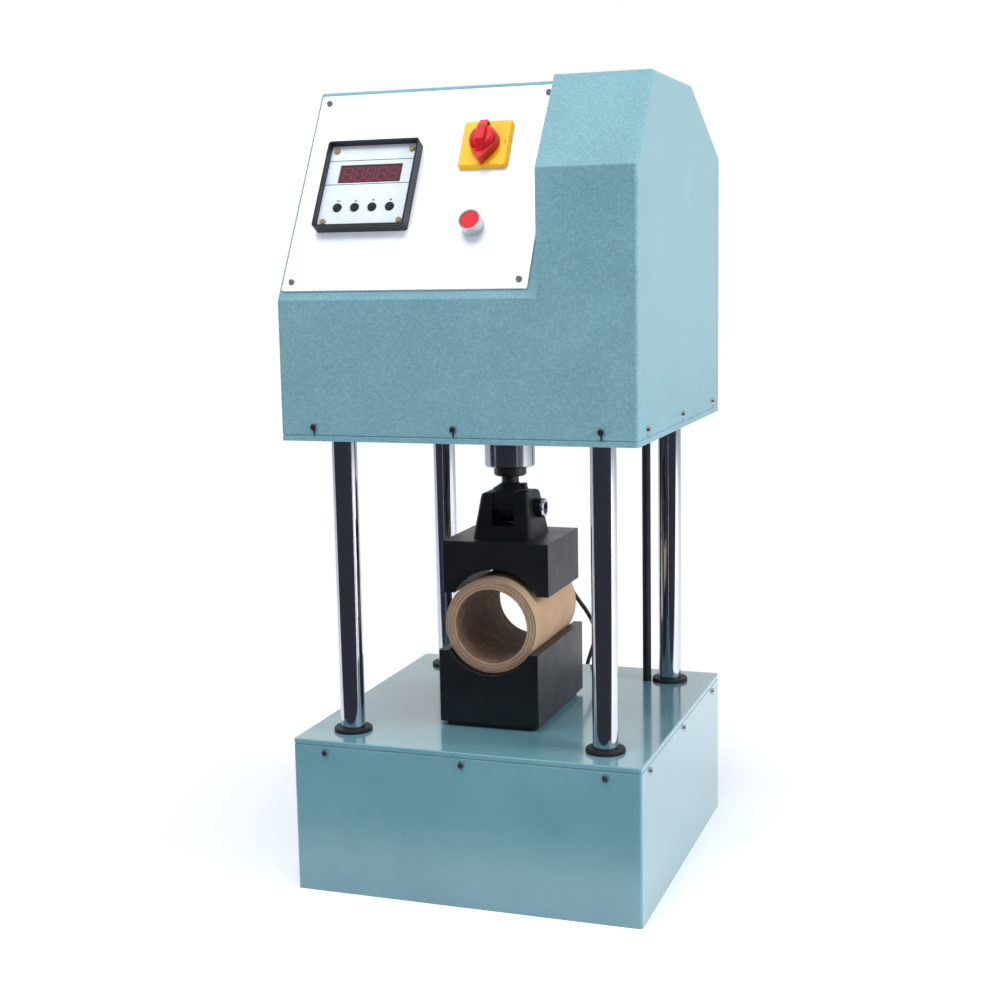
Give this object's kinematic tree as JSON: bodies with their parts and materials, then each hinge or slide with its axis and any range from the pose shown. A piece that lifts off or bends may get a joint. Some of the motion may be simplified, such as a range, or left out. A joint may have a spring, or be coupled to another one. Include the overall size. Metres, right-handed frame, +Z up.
{
  "type": "paper core compression tester",
  "caption": "Bench tester with four columns, a screw-driven ram and a curved jaw pair that crushes a short paper core, read from a sloped meter panel.",
  "frame": {"origin": "centre of the base's underside, on the bench", "axes": "+Z up along the ram's axis, front (panel and specimen side) towards -Y, +X towards the right"},
  "size_m": [0.3648, 0.4139, 0.8],
  "materials": {
    "teal_enamel": "glossy hammer-finish enamel",
    "chrome_bar": "polished hard chrome",
    "machined_steel": "ground",
    "blackened_steel": "black oxide, satin",
    "zinc_sheet": "zinc-plated sheet",
    "screw_steel": "bright zinc",
    "black_rubber": "matt",
    "black_plastic": "fine matt",
    "black_cable": "satin jacket",
    "panel_white": "satin white",
    "face_silver": "satin anodised",
    "display_red": "dark red window",
    "key_plastic": "round key",
    "switch_yellow": "moulded",
    "knob_red": "moulded",
    "button_chrome": "bright",
    "bronze": "machined bronze",
    "brass_screw": "polished",
    "motor_grey": "painted",
    "board_green": "solder-masked board",
    "kraft_board": "wound kraft board"
  },
  "bodies": {
    "machine": {"base_box": "teal_enamel", "bottom_cover": "zinc_sheet", "base_plate": "machined_steel", "base_lid": "teal_enamel", "column_front_left": "chrome_bar", "column_front_right": "chrome_bar", "column_rear_left": "chrome_bar", "column_rear_right": "chrome_bar", "column_rings": "black_rubber", "column_nuts": "machined_steel", "conduit_tube": "black_plastic", "jaw_pad": "black_rubber", "lower_jaw_plate": "blackened_steel", "lower_jaw": "blackened_steel", "lower_jaw_bolts": "screw_steel", "head_lip_plate": "teal_enamel", "crosshead_plate": "machined_steel", "head_cover": "teal_enamel", "rear_cover": "teal_enamel", "head_screws": "screw_steel", "base_screws": "screw_steel", "control_panel": "panel_white", "panel_screws": "brass_screw", "meter_bezel": "black_plastic", "meter_face": "face_silver", "display_window": "display_red", "meter_case": "black_plastic", "meter_screws": "brass_screw", "switch_plate": "switch_yellow", "switch_body": "black_plastic", "button_bezel": "button_chrome", "button_body": "black_plastic", "guide_bush": "bronze", "frame_posts": "machined_steel", "bearing_plate": "machined_steel", "thrust_bearing": "chrome_bar", "motor": "motor_grey", "mains_inlet": "black_plastic", "cable_gland": "black_plastic", "load_cable": "black_cable", "power_supply": "zinc_sheet", "drive_board": "board_green"},
    "ram": {"ram": "chrome_bar", "ram_nut": "bronze", "lock_collar": "blackened_steel", "load_cell": "blackened_steel", "lock_screw": "blackened_steel"},
    "jaw": {"clevis": "blackened_steel", "upper_jaw": "blackened_steel", "clevis_pin": "chrome_bar"},
    "screw": {"drive_screw": "machined_steel", "screw_gear": "machined_steel"},
    "pinion": {"motor_pinion": "machined_steel"},
    "knob": {"switch_knob": "knob_red"},
    "button": {"reset_cap": "knob_red"},
    "key_1": {"meter_key_1": "key_plastic"},
    "key_2": {"meter_key_2": "key_plastic"},
    "key_3": {"meter_key_3": "key_plastic"},
    "key_4": {"meter_key_4": "key_plastic"},
    "specimen": {"paper_core": "kraft_board"}
  },
  "joints": [
    {"name": "screw_spin", "type": "hinge", "parent": "machine", "child": "screw", "pos_m": [0, -0.018, 0.6], "axis": [0, 0, 1], "range_deg": [0, 2879.5]},
    {"name": "ram_slide", "type": "slide", "parent": "machine", "child": "ram", "axis": [0, 0, -1], "range_m": [0, 0.04], "deforming": ["paper_core", "load_cable"]},
    {"name": "pinion_spin", "type": "hinge", "parent": "machine", "child": "pinion", "pos_m": [0.08, -0.018, 0.666], "axis": [0, 0, 1], "range_deg": [-8640, 0]},
    {"name": "jaw_tilt", "type": "hinge", "parent": "ram", "child": "jaw", "pos_m": [0, -0.018, 0.375], "axis": [1, 0, 0], "range_deg": [-2, 2]},
    {"name": "switch_turn", "type": "hinge", "parent": "machine", "child": "knob", "pos_m": [0.01051, -0.10244, 0.73871], "axis": [0, -0.8676, 0.4973], "range_deg": [0, 90]},
    {"name": "reset_press", "type": "slide", "parent": "machine", "child": "button", "axis": [0, 0.8676, -0.4973], "range_m": [0, 0.003], "stiffness_N_per_m": 300, "springref_m": -0.003},
    {"name": "key_press_1", "type": "slide", "parent": "machine", "child": "key_1", "axis": [0, 0.8676, -0.4973], "range_m": [0, 0.001], "stiffness_N_per_m": 300, "springref_m": -0.001},
    {"name": "key_press_2", "type": "slide", "parent": "machine", "child": "key_2", "axis": [0, 0.8676, -0.4973], "range_m": [0, 0.001], "stiffness_N_per_m": 300, "springref_m": -0.001},
    {"name": "key_press_3", "type": "slide", "parent": "machine", "child": "key_3", "axis": [0, 0.8676, -0.4973], "range_m": [0, 0.001], "stiffness_N_per_m": 300, "springref_m": -0.001},
    {"name": "key_press_4", "type": "slide", "parent": "machine", "child": "key_4", "axis": [0, 0.8676, -0.4973], "range_m": [0, 0.001], "stiffness_N_per_m": 300, "springref_m": -0.001},
    {"name": "specimen_slide", "type": "slide", "parent": "machine", "child": "specimen", "axis": [0, -1, 0], "range_m": [0, 0.16]}
  ],
  "couplings": [
    {"joint": "ram_slide", "follows": "screw_spin", "m_per_rad": 0.00079577},
    {"joint": "pinion_spin", "follows": "screw_spin", "ratio": -3}
  ]
}
